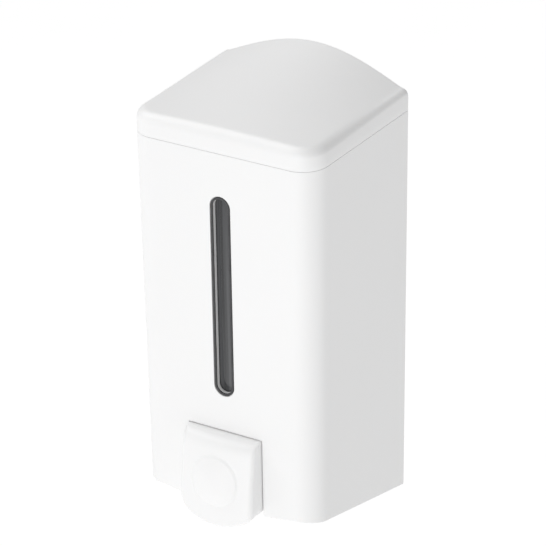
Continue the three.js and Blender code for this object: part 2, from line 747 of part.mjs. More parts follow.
function pushButton() {
  const block = facing(buttonOutline(0, BUTTON_TOP), -100, -70).intersect(
    facedBlock(28, 32, (x, z) => buttonFaceAt(x, z) - domeAt(x, z), buttonBackAt),
  );
  const hollow = facing(buttonOutline(-BUTTON_WALL, BUTTON_TOP - BUTTON_WALL), -100, -70).intersect(
    facedBlock(8, 12, (x, z) => buttonFaceAt(x, z) + BUTTON_WALL, () => -70),
  );
  const rib = box([-4, -92.8, PUMP_AXIS - 5], [4, ROD_TIP - GAP, PUMP_AXIS + 5]);
  const pinHole = rod("x", PIN_RADIUS + GAP, -30, 30, [PIVOT.y, PIVOT.z], 20);
  return cut(join(cut(block, hollow), rib), pinHole);
}

const buttonPivotPin = () => rod("x", PIN_RADIUS, -23, 23, [PIVOT.y, PIVOT.z], 20);

// ---------------------------------------------------------------- fasteners

/** Pan-head screw along Y with a cross recess; facingWall says which way its head looks. */
function panScrew(x, z, headUnder, shankEnd, facingWall) {
  const way = facingWall ? 1 : -1;
  const top = headUnder + way * SCREW.rise;
  const rim = headUnder + way * SCREW.edge;
  const profile = [
    [0, top],
    [SCREW.flat, top],
    [SCREW.head, rim],
    [SCREW.head, headUnder],
    [SCREW.shank, headUnder],
    [SCREW.shank, shankEnd],
    [0, shankEnd],
  ];
  const blank = turned("y", facingWall ? profile.reverse() : profile, [x, z], 24);
  const [low, high] = span(top + way, top - way);
  const { recess, blade } = SCREW;
  const across = box([x - recess, low, z - blade], [x + recess, high, z + blade]);
  const upright = box([x - blade, low, z - recess], [x + blade, high, z + recess]);
  return blank.subtract(join(across, upright));
}

// ---------------------------------------------------------------- assembly

addPart("wall_plate", wallPlate(), LOOKS.innerWhite());
addPart("front_shell", frontShell(), LOOKS.whiteShell());
addPart("rear_panel", rearPanel(), LOOKS.innerWhite());
addPart("window_frame", windowFrame(), LOOKS.darkTrim());
addPart("window_lens", windowLens(), LOOKS.smokedLens());
addPart("lid", lid(), LOOKS.whiteShell());
addPart("soap_tank", soapTank(), LOOKS.naturalTank());
addPart("tank_outlet_seal", tankOutletSeal(), LOOKS.silicone());
addPart("pump_body", pumpBody(), LOOKS.pumpGrey());
addPart("pump_end_cap", pumpEndCap(), LOOKS.pumpGrey());
addPart("piston_rod", pistonRod(), LOOKS.innerWhite());
addPart("piston_seal", pistonSeal(), LOOKS.silicone());
addPart("return_spring", returnSpring(), LOOKS.steel());
addPart("inlet_valve_seat", inletValveSeat(), LOOKS.silicone());
addPart("inlet_valve_ball", inletValveBall(), LOOKS.steel());
addPart("outlet_valve", outletValve(), LOOKS.silicone());
addPart("nozzle", nozzle(), LOOKS.pumpGrey());
addPart("push_button", pushButton(), LOOKS.whiteShell());
addPart("button_pivot_pin", buttonPivotPin(), LOOKS.steel());

for (const [level, z] of [["upper", PANEL_SCREW_HEIGHTS[0]], ["lower", PANEL_SCREW_HEIGHTS[1]]]) {
  for (const [hand, side] of [["left", -1], ["right", 1]]) {
    const screw = panScrew(side * panelScrewX(z), z, PANEL_BACK + GAP, PANEL_SCREW_END, true);
    addPart(`panel_screw_${level}_${hand}`, screw, LOOKS.steel());
  }
}

for (const [hand, side] of [["left", -1], ["right", 1]]) {
  const screw = panScrew(side * EAR_X, PUMP_AXIS, PUMP_REAR - GAP, PUMP_SCREW_END, false);
  addPart(`pump_screw_${hand}`, screw, LOOKS.steel());
}

export default group;
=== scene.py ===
import math

import bmesh
import bpy
from mathutils import Matrix, Vector


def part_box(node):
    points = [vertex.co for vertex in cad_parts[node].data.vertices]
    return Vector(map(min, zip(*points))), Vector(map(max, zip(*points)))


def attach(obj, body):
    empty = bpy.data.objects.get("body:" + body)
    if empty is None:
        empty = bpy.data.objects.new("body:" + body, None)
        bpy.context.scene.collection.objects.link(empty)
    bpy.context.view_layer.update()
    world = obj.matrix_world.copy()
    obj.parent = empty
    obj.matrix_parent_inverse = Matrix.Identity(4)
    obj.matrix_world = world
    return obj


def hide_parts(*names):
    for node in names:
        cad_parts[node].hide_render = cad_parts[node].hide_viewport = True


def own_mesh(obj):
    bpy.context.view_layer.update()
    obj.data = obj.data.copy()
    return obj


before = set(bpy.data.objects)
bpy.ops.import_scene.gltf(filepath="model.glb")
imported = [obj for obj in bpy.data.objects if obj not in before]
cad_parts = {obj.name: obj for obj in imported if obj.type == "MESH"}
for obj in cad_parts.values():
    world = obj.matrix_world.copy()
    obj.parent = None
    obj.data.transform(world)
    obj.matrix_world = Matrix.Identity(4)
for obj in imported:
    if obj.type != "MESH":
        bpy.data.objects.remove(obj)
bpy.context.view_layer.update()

MM = 0.001

# ---------------------------------------------------------------- sizes, in millimetres


def node_box(node):
    """Lowest and highest corner of a CAD node, in millimetres."""
    low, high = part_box(node)
    return low / MM, high / MM


shell_low, shell_high = node_box("front_shell")
lid_low, lid_high = node_box("lid")
pad_low, pad_high = node_box("push_button")
frame_low, frame_high = node_box("window_frame")
pane_low, pane_high = node_box("window_lens")

HALF_BACK = shell_high.x
FRONT = shell_low.y
BACK = shell_high.y
DEPTH = -FRONT
NARROWING = 0.3
HALF_FRONT = HALF_BACK - NARROWING
CORNER = 12.0
WALL = 2.4
DRAFT = 0.012
SEAM = shell_high.z + 0.15
SEAM_HALF_GAP = 0.04
SHELL_TOP = SEAM - SEAM_HALF_GAP
LID_BOTTOM = SEAM + SEAM_HALF_GAP
LID_RIM = 104.0
LID_RISE = 13.3
LID_ARCH_HALF = 45.0
LID_EDGE = 4.5
LID_EDGE_AT_WALL = 2.8
LID_BACK_EDGE = 0.7
UNDERSIDE_FRONT = -79.8
UNDERSIDE_SAG = 3.2
UNDERSIDE_SAG_HALF = 36.0
UNDERSIDE_SLOPE = 0.219

PAD_HALF = pad_high.x
PAD_TOP = pad_high.z
PAD_BOTTOM = -86.4
PAD_BOW = 30.0
PAD_CORNER = 7.0
PAD_EDGE = 2.0
PAD_CROWN = 2.2
PAD_WALL = 2.0
PAD_REACH = 10.0
DOME_RADIUS = 12.0
DOME_HEIGHT = 2.4
DOME_MIDDLE = -63.5
DOME_FALL = 0.85
DOME_EDGE = 1.3
DOME_SPREAD = 0.5
SHOULDER_DROP = 7.0
SHOULDER_CONTROL = 6.2
SHOULDER_REACH = 7.2
FACE_EASING = 3.2
FACE_SPAN = 36.0
PAD_BACK = -74.0
PAD_BACK_STEP = 1.4
RIB_HALF_WIDTH = 4
RIB_HALF_HEIGHT = 5
RIB_FRONT = -92.9
RIB_BACK = -80.4
PIVOT_Y = -76.0
PIVOT_Z = -46.5
PIN_HOLE = 1.8
ROD_HEIGHT = -71.0
NOZZLE_Y = -39.0
NOZZLE_HOLE = 7.2
OPENING_GAP = 0.4
OPENING_BACK = -63.5
SEAT_GAP = 0.3
FRAME_RING = 1.1
LUG_INNER, LUG_OUTER, LUG_HALF_HEIGHT = 19.8, 23.4, 4.5
LEDGE_INNER, LEDGE_FRONT, LEDGE_BACK = 43, -62, -26
LEDGE_LOW, LEDGE_HIGH = 84, 87.7
BOSS_RADIUS, BOSS_FRONT, BOSS_BACK = 3.5, -13, -5.9
PILOT_RADIUS = 1.7

# ---------------------------------------------------------------- mesh building


class Skin:
    """A mesh stitched from closed rings of equal length."""

    def __init__(self):
        self.points = []
        self.faces = []
        self.last = None

    def ring(self, points):
        """Add a ring and join it to the one before."""
        start = len(self.points)
        count = len(points)
        self.points.extend(points)
        if self.last is not None:
            for i in range(count):
                j = (i + 1) % count
                self.faces.append((self.last + i, self.last + j, start + j, start + i))
        self.last = start
        self.count = count

    def close_to_point(self, point):
        """Close the last ring with a fan to one point."""
        tip = len(self.points)
        self.points.append(point)
        for i in range(self.count):
            self.faces.append((self.last + i, self.last + (i + 1) % self.count, tip))

    def close_start(self, point):
        """Close the first ring with a fan to one point."""
        tip = len(self.points)
        self.points.append(point)
        for i in range(self.count):
            self.faces.append(((i + 1) % self.count, i, tip))

    def close_loop(self):
        """Join the last ring back to the first."""
        for i in range(self.count):
            j = (i + 1) % self.count
            self.faces.append((self.last + i, self.last + j, j, i))


def make_object(name, points, faces):
    """A mesh object from points in millimetres, with its faces turned outwards."""
    mesh = bpy.data.meshes.new(name)
    mesh.from_pydata([Vector(p) * MM for p in points], [], faces)
    work = bmesh.new()
    work.from_mesh(mesh)
    bmesh.ops.remove_doubles(work, verts=work.verts, dist=1e-7)
    bmesh.ops.recalc_face_normals(work, faces=work.faces)
    work.to_mesh(mesh)
    work.free()
    piece = bpy.data.objects.new(name, mesh)
    bpy.context.scene.collection.objects.link(piece)
    return piece


def from_skin(name, skin):
    return make_object(name, skin.points, skin.faces)


def extruded(name, outline, low, high):
    """A solid from a closed outline of points; low and high turn an outline point into a corner."""
    skin = Skin()
    skin.ring([low(p) for p in outline])
    skin.ring([high(p) for p in outline])
    middle = tuple(sum(p[k] for p in outline) / len(outline) for k in range(2))
    skin.close_start(low(middle))
    skin.close_to_point(high(middle))
    return from_skin(name, skin)


def cuboid(name, low, high):
    outline = [(low[0], low[1]), (high[0], low[1]), (high[0], high[1]), (low[0], high[1])]
    return extruded(name, outline, lambda p: (*p, low[2]), lambda p: (*p, high[2]))


def cylinder(name, axis, radius, start, end, centre, sides=48):
    """A round bar along X, Y or Z, for cutting and joining."""
    circle = []
    for i in range(sides):
        angle = 2 * math.pi * i / sides
        circle.append((centre[0] + radius * math.cos(angle), centre[1] + radius * math.sin(angle)))
    place = {
        "x": lambda along: lambda p: (along, p[0], p[1]),
        "y": lambda along: lambda p: (p[0], along, p[1]),
        "z": lambda along: lambda p: (p[0], p[1], along),
    }[axis]
    return extruded(name, circle, place(start), place(end))


def apply_modifiers(piece):
    """Bake a piece's modifiers into its mesh."""
    graph = bpy.context.evaluated_depsgraph_get()
    baked = bpy.data.meshes.new_from_object(piece.evaluated_get(graph))
    piece.modifiers.clear()
    piece.data = baked


def combine(piece, operation, *tools):
    """Cut or join other solids into a piece and throw the tools away."""
    for tool in tools:
        step = piece.modifiers.new("combine", "BOOLEAN")
        step.operation = operation
        step.solver = "EXACT"
        step.object = tool
        bpy.context.view_layer.update()
        apply_modifiers(piece)
        bpy.data.objects.remove(tool)


def tidy_faces(piece, angle=0.004):
    """Merge the small coplanar faces that a cut leaves."""
    work = bmesh.new()
    work.from_mesh(piece.data)
    bmesh.ops.remove_doubles(work, verts=work.verts, dist=2e-6)
    bmesh.ops.dissolve_limit(work, angle_limit=angle, verts=work.verts, edges=work.edges)
    work.to_mesh(piece.data)
    work.free()


def soften(piece, width, segments=3, angle=35):
    """Round the sharp edges and shade the rest smoothly."""
    for face in piece.data.polygons:
        face.use_smooth = True
    bevel = piece.modifiers.new("round edges", "BEVEL")
    bevel.width = width * MM
    bevel.segments = segments
    bevel.limit_method = "ANGLE"
    bevel.angle_limit = math.radians(angle)
    bevel.miter_outer = "MITER_ARC"
    bevel.use_clamp_overlap = True
    weighted = piece.modifiers.new("even shading", "WEIGHTED_NORMAL")
    weighted.keep_sharp = True
    weighted.weight = 80


def shade_smooth(piece, angle=30):
    for face in piece.data.polygons:
        face.use_smooth = True
    piece.data.set_sharp_from_angle(angle=math.radians(angle))


def finish_piece(piece, body, slot, material, *replaced):
    """Give a rebuilt piece its material and its body, and hide the CAD nodes it stands for."""
    piece.data.materials.clear()
    piece.data.materials.append(material)
    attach(piece, body)
    if replaced:
        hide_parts(*replaced)
    return piece


# ---------------------------------------------------------------- materials


class Tree:
    """A small helper for building a material's nodes."""

    def __init__(self, name):
        self.material = bpy.data.materials.new(name)
        self.material.use_nodes = True
        self.tree = self.material.node_tree
        self.shader = self.tree.nodes["Principled BSDF"]
        self.place = self.add("ShaderNodeTexCoord").outputs["Object"]

    def add(self, kind, **values):
        node = self.tree.nodes.new(kind)
        for key, value in values.items():
            if key in node.inputs:
                node.inputs[key].default_value = value
            else:
                setattr(node, key, value)
        return node

    def link(self, source, target):
        self.tree.links.new(source, target)

    def stretched(self, scale):
        """Object coordinates with a stretch in each direction."""
        mapping = self.add("ShaderNodeMapping")
        mapping.inputs["Scale"].default_value = scale
        self.link(self.place, mapping.inputs["Vector"])
        return mapping.outputs["Vector"]

    def noise(self, scale, detail=3.0, stretch=(1, 1, 1)):
        node = self.add("ShaderNodeTexNoise", Scale=scale, Detail=detail)
        self.link(self.stretched(stretch), node.inputs["Vector"])
        return node.outputs["Fac"]

    def colour_range(self, factor, low, high, start=0.3, end=0.7):
        ramp = self.add("ShaderNodeValToRGB")
        ramp.color_ramp.elements[0].position = start
        ramp.color_ramp.elements[1].position = end
        ramp.color_ramp.elements[0].color = (*low, 1)
        ramp.color_ramp.elements[1].color = (*high, 1)
        self.link(factor, ramp.inputs["Fac"])
        return ramp.outputs["Color"]

    def number_range(self, factor, low, high):
        node = self.add("ShaderNodeMapRange")
        node.inputs["To Min"].default_value = low
        node.inputs["To Max"].default_value = high
        self.link(factor, node.inputs["Value"])
        return node.outputs["Result"]

    def colour(self, factor, *span):
        """Base colour between two colours."""
        self.link(self.colour_range(factor, *span), self.shader.inputs["Base Color"])

    def roughness(self, factor, low, high):
        self.link(self.number_range(factor, low, high), self.shader.inputs["Roughness"])

    def bump(self, height, strength, distance):
        node = self.add("ShaderNodeBump", Strength=strength, Distance=distance)
        self.link(height, node.inputs["Height"])
        return node

    def add_bumps(self, *layers):
        """Chain (height, strength, distance) layers into the shader's normal."""
        below = None
        for height, strength, distance in layers:
            node = self.bump(height, strength, distance)
            if below is not None:
                self.link(below.outputs["Normal"], node.inputs["Normal"])
            below = node
        self.link(below.outputs["Normal"], self.shader.inputs["Normal"])


def moulded_plastic(name, low, high, rough_low, rough_high, grain=0.00003, sink=0.00006, subsurface=0.0):
    """Moulded plastic: faint colour mottling, uneven gloss, fine mould grain and slow sink waves."""
    tree = Tree(name)
    tree.colour(tree.noise(11, 1.5), low, high, 0.1, 0.9)
    tree.roughness(tree.noise(45, 2), rough_low, rough_high)
    tree.add_bumps((tree.noise(16, 2), 0.5, sink), (tree.noise(700, 2), 0.2, grain))
    if subsurface:
        tree.shader.inputs["Subsurface Weight"].default_value = subsurface
        tree.shader.inputs["Subsurface Radius"].default_value = (0.0022, 0.0020, 0.0018)
        tree.shader.inputs["Subsurface Scale"].default_value = 1.0
    return tree.material


def smoked_acrylic(name):
    """Smoked acrylic: dark, polished, with faint upright flow lines from extrusion."""
    tree = Tree(name)
    tree.colour(tree.noise(420, 4, (1, 1, 0.012)), (0.038, 0.039, 0.041), (0.125, 0.127, 0.132))
    tree.roughness(tree.noise(90, 4), 0.05, 0.12)
    tree.add_bumps((tree.noise(260, 2, (1, 1, 0.03)), 0.25, 0.00004))
    tree.shader.inputs["IOR"].default_value = 1.49
    tree.shader.inputs["Alpha"].default_value = 0.92
    return tree.material


def dark_trim(name):
    """Near-black moulded plastic with a satin surface."""
    tree = Tree(name)
    tree.colour(tree.noise(300, 4), (0.028, 0.028, 0.030), (0.050, 0.050, 0.053))
    tree.roughness(tree.noise(500, 3), 0.29, 0.38)
    tree.add_bumps((tree.noise(1800, 3), 0.3, 0.00002))
    return tree.material


def translucent_tank(name):
    """Natural polypropylene: milky, waxy and half see-through."""
    tree = Tree(name)
    tree.colour(tree.noise(22, 4), (0.70, 0.74, 0.74), (0.80, 0.83, 0.82))
    tree.roughness(tree.noise(80, 4), 0.32, 0.48)
    tree.add_bumps((tree.noise(40, 3), 0.4, 0.0001), (tree.noise(1500, 3), 0.3, 0.00003))
    tree.shader.inputs["Alpha"].default_value = 0.78
    tree.shader.inputs["Subsurface Weight"].default_value = 0.25
    tree.shader.inputs["Subsurface Radius"].default_value = (0.004, 0.004, 0.004)
    tree.shader.inputs["Subsurface Scale"].default_value = 1.0
    return tree.material


def silicone_rubber(name):
    """Matt grey silicone."""
    tree = Tree(name)
    tree.colour(tree.noise(120, 4), (0.34, 0.36, 0.37), (0.42, 0.44, 0.45))
    tree.roughness(tree.noise(200, 4), 0.55, 0.75)
    tree.add_bumps((tree.noise(900, 4), 0.4, 0.00005))
    return tree.material


def stainless_steel(name, stretch):
    """Drawn or turned steel, its fine lines running along the stretched direction."""
    tree = Tree(name)
    lines = tree.noise(3000, 4, stretch)
    tree.colour(lines, (0.52, 0.53, 0.54), (0.66, 0.67, 0.68))
    tree.roughness(lines, 0.29, 0.42)
    tree.add_bumps((lines, 0.25, 0.00002))
    tree.shader.inputs["Metallic"].default_value = 1.0
    return tree.material


SHELL_WHITE = moulded_plastic(
    "shell white",
    (0.852, 0.852, 0.852),
    (0.872, 0.872, 0.872),
    0.36,
    0.42,
    grain=0.000015,
    sink=0.00004,
    subsurface=0.06,
)
FINE_GRAIN = 0.00004
INNER_WHITE = moulded_plastic(
    "inner white", (0.74, 0.74, 0.72), (0.80, 0.80, 0.78), 0.42, 0.55, grain=FINE_GRAIN
)
PUMP_GREY = moulded_plastic(
    "pump grey", (0.50, 0.52, 0.53), (0.57, 0.58, 0.59), 0.40, 0.55, grain=FINE_GRAIN
)
SMOKED = smoked_acrylic("smoked lens")
TRIM = dark_trim("dark trim")
TANK = translucent_tank("natural tank")
SILICONE = silicone_rubber("silicone")
STEEL = stainless_steel("drawn steel", (0.02, 1, 1))
TURNED_STEEL = stainless_steel("turned steel", (1, 0.05, 1))

# ---------------------------------------------------------------- casing shape


def spread(start, end, count):
    """Evenly spaced values from start up to, but not including, end."""
    return [start + (end - start) * i / count for i in range(count)]


def eased(start, end, count):
    """Values from start up to end, closest together near both ends."""
    middle, half = (start + end) / 2, (end - start) / 2
    return [middle - half * math.cos(math.pi * i / count) for i in range(count)]


def casing_ring(side, back):
    """Closed plan outline, moved inwards from the sides and front, and from the back."""
    radius = max(CORNER - side, 0.05)
    half_back, half_front = HALF_BACK - side, HALF_FRONT - side
    y_back = BACK - back
    y_arc = FRONT + side + radius
    centre = half_front - radius
    ring = []
    for y in spread(y_back, y_arc, 18):
        share = (y_back - y) / (y_back - y_arc)
        ring.append((-half_back + (half_back - half_front) * share, y))
    for angle in spread(math.pi, 1.5 * math.pi, 16):
        ring.append((-centre + radius * math.cos(angle), y_arc + radius * math.sin(angle)))
    for x in spread(-centre, centre, 36):
        ring.append((x, FRONT + side))
    for angle in spread(1.5 * math.pi, 2 * math.pi, 16):
        ring.append((centre + radius * math.cos(angle), y_arc + radius * math.sin(angle)))
    for y in spread(y_arc, y_back, 18):
        share = (y_back - y) / (y_back - y_arc)
        ring.append((half_back - (half_back - half_front) * share, y))
    for x in eased(half_back, -half_back, 72):
        ring.append((x, y_back))
    return ring


def toward_middle(ring, share):
    """A ring drawn in towards the middle of the plan."""
    middle = FRONT / 2
    return [(x * (1 - share), y + (middle - y) * share) for x, y in ring]


def inset_of(x, y):
    """How far a point lies inside the casing's sides and front."""
    side = HALF_FRONT - abs(x) + NARROWING * max(0.0, (y - FRONT)) / DEPTH
    front = y - FRONT
    if side < CORNER and front < CORNER:
        return CORNER - math.hypot(CORNER - side, CORNER - front)
    return min(side, front)


def rounding(inset, radius):
    """Drop of a quarter-round edge at a distance inside it."""
    left = min(max(radius - inset, 0.0), radius)
    return radius - math.sqrt(max(radius * radius - left * left, 0.0))


def lid_skin(x, y):
    """Height of the lid's top skin, before its edges are rounded."""
    arch = math.cos(math.pi * x / (2 * LID_ARCH_HALF)) if abs(x) < LID_ARCH_HALF else 0.0
    along = min(max((y - FRONT) / DEPTH, 0.0), 1.0)
    return LID_RIM + LID_RISE * arch * along


def smooth(value):
    """Ease a value between nought and one."""
    value = min(max(value, 0.0), 1.0)
    return value * value * (3 - 2 * value)


def lid_edge(y):
    """Radius of the lid's rounded edge, which tightens along the sides towards the wall."""
    share = smooth((y - FRONT - CORNER) / (BACK - FRONT - CORNER))
    return LID_EDGE + (LID_EDGE_AT_WALL - LID_EDGE) * share


def lid_top(x, y):
    """Height of the lid's top with its edges rounded."""
    height = lid_skin(x, y) - rounding(inset_of(x, y), lid_edge(y)) - rounding(BACK - y, LID_BACK_EDGE)
    return min(height, lid_high.z)


def lid_ring(share):
    """Plan outline part of the way up the lid's rounded edge."""
    ring = []
    for x, y in casing_ring(LID_EDGE * share, LID_BACK_EDGE * share):
        half = HALF_BACK - LID_EDGE * share
        wanted = HALF_BACK - lid_edge(y) * share
        ring.append((x * wanted / half, y))
    return ring


def underside(x, y):
    """Height of the casing's underside."""
    sag = UNDERSIDE_SAG * max(0.0, 1 - (x / UNDERSIDE_SAG_HALF) ** 2)
    return UNDERSIDE_FRONT - sag - UNDERSIDE_SLOPE * (y - FRONT)


def taper(z):
    """How much the side draft narrows the casing at a height."""
    return 1 - DRAFT * (SEAM - z) / HALF_BACK


def quarter(count):
    """Angles from just above zero to a right angle."""
    return [math.pi / 2 * (i + 1) / count for i in range(count)]


# ---------------------------------------------------------------- lid


def build_lid():
    """A roof with a rounded edge over a short skirt that drops inside the front shell."""
    skin = Skin()

    def flat(side, back, z):
        skin.ring([(x, y, z) for x, y in casing_ring(side, back)])

    roof_fillet = 1.2
    roof = casing_ring(WALL + roof_fillet, WALL + roof_fillet)
    for share in (0.8, 0.6, 0.4, 0.2, 0.0):
        skin.ring([(x, y, lid_skin(x, y) - WALL) for x, y in toward_middle(roof, share)])
    for angle in quarter(3):
        inset = WALL + roof_fillet * (1 - math.sin(angle))
        drop = WALL + roof_fillet * (1 - math.cos(angle))
        skin.ring([(x, y, lid_skin(x, y) - drop) for x, y in casing_ring(inset, inset)])
    side, back = WALL + 0.4, 6.1
    thick, chamfer = 1.6, 0.4
    shelf, tip = LID_BOTTOM + 2.4, LID_BOTTOM - 3.0
    flat(WALL, WALL, shelf)
    flat(side + thick, back + thick, shelf)
    flat(side + thick, back + thick, tip + chamfer)
    flat(side + thick - chamfer, back + thick - chamfer, tip)
    flat(side + chamfer, back + chamfer, tip)
    flat(side, back, tip + chamfer)
    flat(side, back, LID_BOTTOM)
    lip = 0.22
    flat(lip, lip, LID_BOTTOM)
    for angle in quarter(4):
        inset = lip * (1 - math.sin(angle))
        flat(inset, inset, LID_BOTTOM + lip * (1 - math.cos(angle)))
    band = casing_ring(0, 0)
    skin.ring([(x, y, LID_BOTTOM + 2.0) for x, y in band])
    skin.ring([(x, y, lid_top(x, y) - 0.02) for x, y in band])
    for angle in quarter(10):
        skin.ring([(x, y, lid_top(x, y)) for x, y in lid_ring(1 - math.cos(angle))])
    ring = lid_ring(1)
    steps = 28
    for i in range(1, steps):
        skin.ring([(x, y, lid_top(x, y)) for x, y in toward_middle(ring, i / steps)])
    skin.close_to_point((0, FRONT / 2, lid_top(0, FRONT / 2)))
    skin.close_start((0, FRONT / 2, lid_skin(0, FRONT / 2) - WALL))
    piece = from_skin("lid_moulding", skin)
    shade_smooth(piece, 34)
    return finish_piece(piece, "lid", "shell_white", SHELL_WHITE, "lid")


# ---------------------------------------------------------------- front shell


def casing_block(name, side, back, top, rise, edge):
    """A closed block with the casing's plan, draft and underside, moved inwards."""
    skin = Skin()

    def ring(outline, height):
        points = []
        for x, y in outline:
            z = height(x, y)
            points.append((x * taper(z), y, z))
        skin.ring(points)

    ring(casing_ring(side, back), lambda x, y: top)
    ring(casing_ring(side, back), lambda x, y: underside(x, y) + rise + edge)
    for angle in quarter(5):
        inset = edge * (1 - math.cos(angle))
        drop = edge * (1 - math.sin(angle))
        ring(casing_ring(side + inset, back + inset), lambda x, y: underside(x, y) + rise + drop)
    base = casing_ring(side + edge, back + edge)
    for i in range(1, 8):
        ring(toward_middle(base, i / 8), lambda x, y: underside(x, y) + rise)
    middle = FRONT / 2
    skin.close_to_point((0, middle, underside(0, middle) + rise))
    skin.close_start((0, middle, top))
    return from_skin(name, skin)


def pill(margin, low, high, sides=40):
    """Upright pill outline around the window's frame, grown by a margin."""
    radius = (high.x - low.x) / 2 + margin
    reach = (high.z - low.z) / 2 + margin - radius
    middle = (high.z + low.z) / 2
    points = []
    for i in range(sides):
        angle = math.pi * i / sides
        points.append((radius * math.cos(angle), middle + reach + radius * math.sin(angle)))
    for i in range(sides):
        angle = math.pi + math.pi * i / sides
        points.append((radius * math.cos(angle), middle - reach + radius * math.sin(angle)))
    return points


def pill_prism(name, margin, y_front, y_back):
    outline = pill(margin, frame_low, frame_high)
    return extruded(name, outline, lambda p: (p[0], y_front, p[1]), lambda p: (p[0], y_back, p[1]))


def inner_half(z):
    """Half the casing's inner width at a height."""
    return (HALF_BACK - WALL) * taper(z)


def screw_places(side):
    """X and Z of the two panel screws on one side."""
    places = []
    for node in ("panel_screw_upper_right", "panel_screw_lower_right"):
        low, high = node_box(node)
        places.append((side * (low.x + high.x) / 2, (low.z + high.z) / 2))
    return places


def side_block(name, ends, y, z):
    """A block between two X positions, given in either order, and two Y and two Z positions."""
    left, right = sorted(ends)
    return cuboid(name, (left, y[0], z[0]), (right, y[1], z[1]))


def shell_fittings():
    """Lugs for the pivot pin, corner bosses with their webs, and ledges for the tank."""
    fittings = []
    for side in (-1, 1):
        lug_z = (PIVOT_Z - LUG_HALF_HEIGHT, PIVOT_Z + LUG_HALF_HEIGHT)
        lug_y = (FRONT + 1, PIVOT_Y + 3.6)
        fittings.append(side_block("lug", (side * LUG_INNER, side * LUG_OUTER), lug_y, lug_z))
        wall = side * (inner_half(86) + 1)
        ledge_y = (LEDGE_FRONT, LEDGE_BACK)
        fittings.append(side_block("ledge", (side * LEDGE_INNER, wall), ledge_y, (LEDGE_LOW, LEDGE_HIGH)))
        for x, z in screw_places(side):
            wall = side * (inner_half(z) + 1)
            fittings.append(cylinder("boss", "y", BOSS_RADIUS, BOSS_FRONT, BOSS_BACK, (x, z)))
            fittings.append(side_block("web", (x, wall), (BOSS_FRONT + 0.1, BOSS_BACK - 0.1), (z - 2, z + 2)))
    return fittings


def build_front_shell():
    """The casing's front, sides and underside in one moulding."""
    piece = casing_block("front_shell_moulding", 0, 0, SHELL_TOP, 0, 0.9)
    combine(piece, "DIFFERENCE", casing_block("hollow", WALL, -4, SHELL_TOP + 6, WALL, 1.0))
    tidy_faces(piece)
    combine(piece, "UNION", *shell_fittings())
    half = PAD_HALF + OPENING_GAP
    combine(
        piece,
        "DIFFERENCE",
        pill_prism("frame seat", SEAT_GAP, FRONT - 2, frame_high.y + SEAT_GAP),
        pill_prism("window slot", -FRAME_RING, FRONT - 2, -78),
        cuboid("pad opening", (-half, FRONT - 2, -100), (half, OPENING_BACK, PAD_TOP + OPENING_GAP)),
        cylinder("nozzle hole", "z", NOZZLE_HOLE, -105, -86, (0, NOZZLE_Y), 64),
        cylinder("pin hole", "x", PIN_HOLE, -30, 30, (PIVOT_Y, PIVOT_Z)),
    )
    for side in (-1, 1):
        for place in screw_places(side):
            combine(piece, "DIFFERENCE", cylinder("pilot", "y", PILOT_RADIUS, -12.4, 0, place, 32))
    tidy_faces(piece)
    soften(piece, 0.25)
    return finish_piece(piece, "housing", "shell_white", SHELL_WHITE, "front_shell")


# ---------------------------------------------------------------- window


def build_window_frame():
    """The dark rim round the window, its two front edges rounded."""
    skin = Skin()
    edge = 0.22
    front, back = frame_low.y, frame_high.y

    def ring(margin, y):
        skin.ring([(x, y, z) for x, z in pill(margin, frame_low, frame_high)])

    ring(0, back)
    ring(0, front + edge)
    for angle in quarter(4):
        ring(-edge * (1 - math.cos(angle)), front + edge * (1 - math.sin(angle)))
    for angle in quarter(4):
        ring(-FRAME_RING + edge * (1 - math.sin(angle)), front + edge * (1 - math.cos(angle)))
    ring(-FRAME_RING, back)
    skin.close_loop()
    piece = from_skin("window_bezel", skin)
    shade_smooth(piece, 40)
    return finish_piece(piece, "housing", "dark_trim", TRIM, "window_frame")


def build_window_pane():
    """The smoked pane behind the window's slot."""
    skin = Skin()
    edge = 0.25
    front, back = pane_low.y, pane_high.y

    def ring(margin, y):
        skin.ring([(x, y, z) for x, z in pill(margin, pane_low, pane_high)])

    ring(-edge, back)
    ring(0, back - edge)
    ring(0, front + edge)
    for angle in quarter(3):
        ring(-edge * (1 - math.cos(angle)), front + edge * (1 - math.sin(angle)))
    middle = (pane_low.z + pane_high.z) / 2
    skin.close_to_point((0, front, middle))
    skin.close_start((0, back, middle))
    piece = from_skin("window_pane", skin)
    shade_smooth(piece, 50)
    return finish_piece(piece, "housing", "smoked_lens", SMOKED, "window_lens")


# ---------------------------------------------------------------- push button

PAD_CORNER_X = PAD_HALF - PAD_CORNER
PAD_BOW_CENTRE = PAD_BOTTOM + PAD_BOW
PAD_LEAN = math.asin(PAD_CORNER_X / (PAD_BOW - PAD_CORNER))
PAD_CORNER_Z = PAD_BOW_CENTRE - (PAD_BOW - PAD_CORNER) * math.cos(PAD_LEAN)


def pad_ring(inset):
    """Closed outline of the push button in X and Z, moved inwards."""
    half = PAD_HALF - inset
    corner, bow = PAD_CORNER - inset, PAD_BOW - inset
    top = PAD_TOP - inset
    lowest = -math.pi / 2
    ring = []
    for z in spread(top, PAD_CORNER_Z, 30):
        ring.append((-half, z))
    for angle in spread(-math.pi, lowest - PAD_LEAN, 12):
        ring.append((-PAD_CORNER_X + corner * math.cos(angle), PAD_CORNER_Z + corner * math.sin(angle)))
    for angle in spread(lowest - PAD_LEAN, lowest + PAD_LEAN, 40):
        ring.append((bow * math.cos(angle), PAD_BOW_CENTRE + bow * math.sin(angle)))
    for angle in spread(lowest + PAD_LEAN, 0, 12):
        ring.append((PAD_CORNER_X + corner * math.cos(angle), PAD_CORNER_Z + corner * math.sin(angle)))
    for z in spread(PAD_CORNER_Z, top, 30):
        ring.append((half, z))
    for x in spread(half, -half, 40):
        ring.append((x, top))
    return ring


